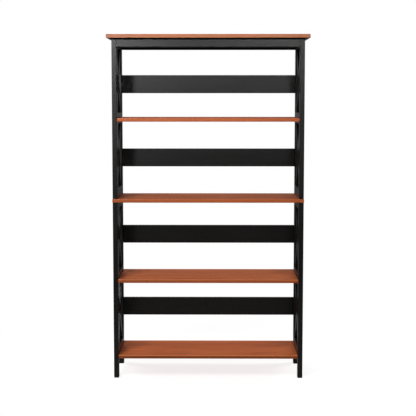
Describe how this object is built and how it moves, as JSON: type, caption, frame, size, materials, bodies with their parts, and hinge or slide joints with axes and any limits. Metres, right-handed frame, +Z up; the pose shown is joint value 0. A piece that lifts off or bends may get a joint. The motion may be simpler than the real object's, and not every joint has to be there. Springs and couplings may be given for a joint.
{
  "type": "open bookcase",
  "caption": "Upright open bookcase with cherry-finish shelves between black side frames that have crossed braces, with black slats across the back.",
  "frame": {"origin": "on the floor under the middle of the overall size", "axes": "+X to the right seen from the front, +Y from the front to the back, +Z up"},
  "size_m": [0.876, 0.3, 1.505],
  "materials": {
    "cherry_finish": "satin cherry stain with fine lengthwise grain",
    "black_lacquer": "satin black lacquer on wood",
    "zinc_plated_steel": "bright zinc plate",
    "beech": "bare fluted dowel wood"
  },
  "bodies": {
    "root": {"top_board": "cherry_finish", "front_apron": "black_lacquer", "rear_apron": "black_lacquer", "second_shelf": "cherry_finish", "middle_shelf": "cherry_finish", "fourth_shelf": "cherry_finish", "bottom_shelf": "cherry_finish", "top_back_slat": "black_lacquer", "upper_back_slat": "black_lacquer", "lower_back_slat": "black_lacquer", "bottom_back_slat": "black_lacquer", "left_upper_front_leg": "black_lacquer", "left_upper_rear_leg": "black_lacquer", "left_lower_front_leg": "black_lacquer", "left_lower_rear_leg": "black_lacquer", "right_upper_front_leg": "black_lacquer", "right_upper_rear_leg": "black_lacquer", "right_lower_front_leg": "black_lacquer", "right_lower_rear_leg": "black_lacquer", "left_top_rail": "black_lacquer", "left_second_rail": "black_lacquer", "left_sill_rail": "black_lacquer", "left_head_rail": "black_lacquer", "left_fourth_rail": "black_lacquer", "left_bottom_rail": "black_lacquer", "right_top_rail": "black_lacquer", "right_second_rail": "black_lacquer", "right_sill_rail": "black_lacquer", "right_head_rail": "black_lacquer", "right_fourth_rail": "black_lacquer", "right_bottom_rail": "black_lacquer", "left_top_rising_brace": "black_lacquer", "left_top_falling_brace": "black_lacquer", "left_upper_rising_brace": "black_lacquer", "left_upper_falling_brace": "black_lacquer", "left_lower_rising_brace": "black_lacquer", "left_lower_falling_brace": "black_lacquer", "left_bottom_rising_brace": "black_lacquer", "left_bottom_falling_brace": "black_lacquer", "right_top_rising_brace": "black_lacquer", "right_top_falling_brace": "black_lacquer", "right_upper_rising_brace": "black_lacquer", "right_upper_falling_brace": "black_lacquer", "right_lower_rising_brace": "black_lacquer", "right_lower_falling_brace": "black_lacquer", "right_bottom_rising_brace": "black_lacquer", "right_bottom_falling_brace": "black_lacquer", "frame_dowels": "beech", "apron_dowels": "beech", "apron_screws": "zinc_plated_steel", "slat_screws": "zinc_plated_steel", "shelf_screws": "zinc_plated_steel", "top_screws": "zinc_plated_steel", "stacking_bolts": "zinc_plated_steel", "stacking_inserts": "zinc_plated_steel", "stacking_pins": "zinc_plated_steel"}
  },
  "joints": []
}
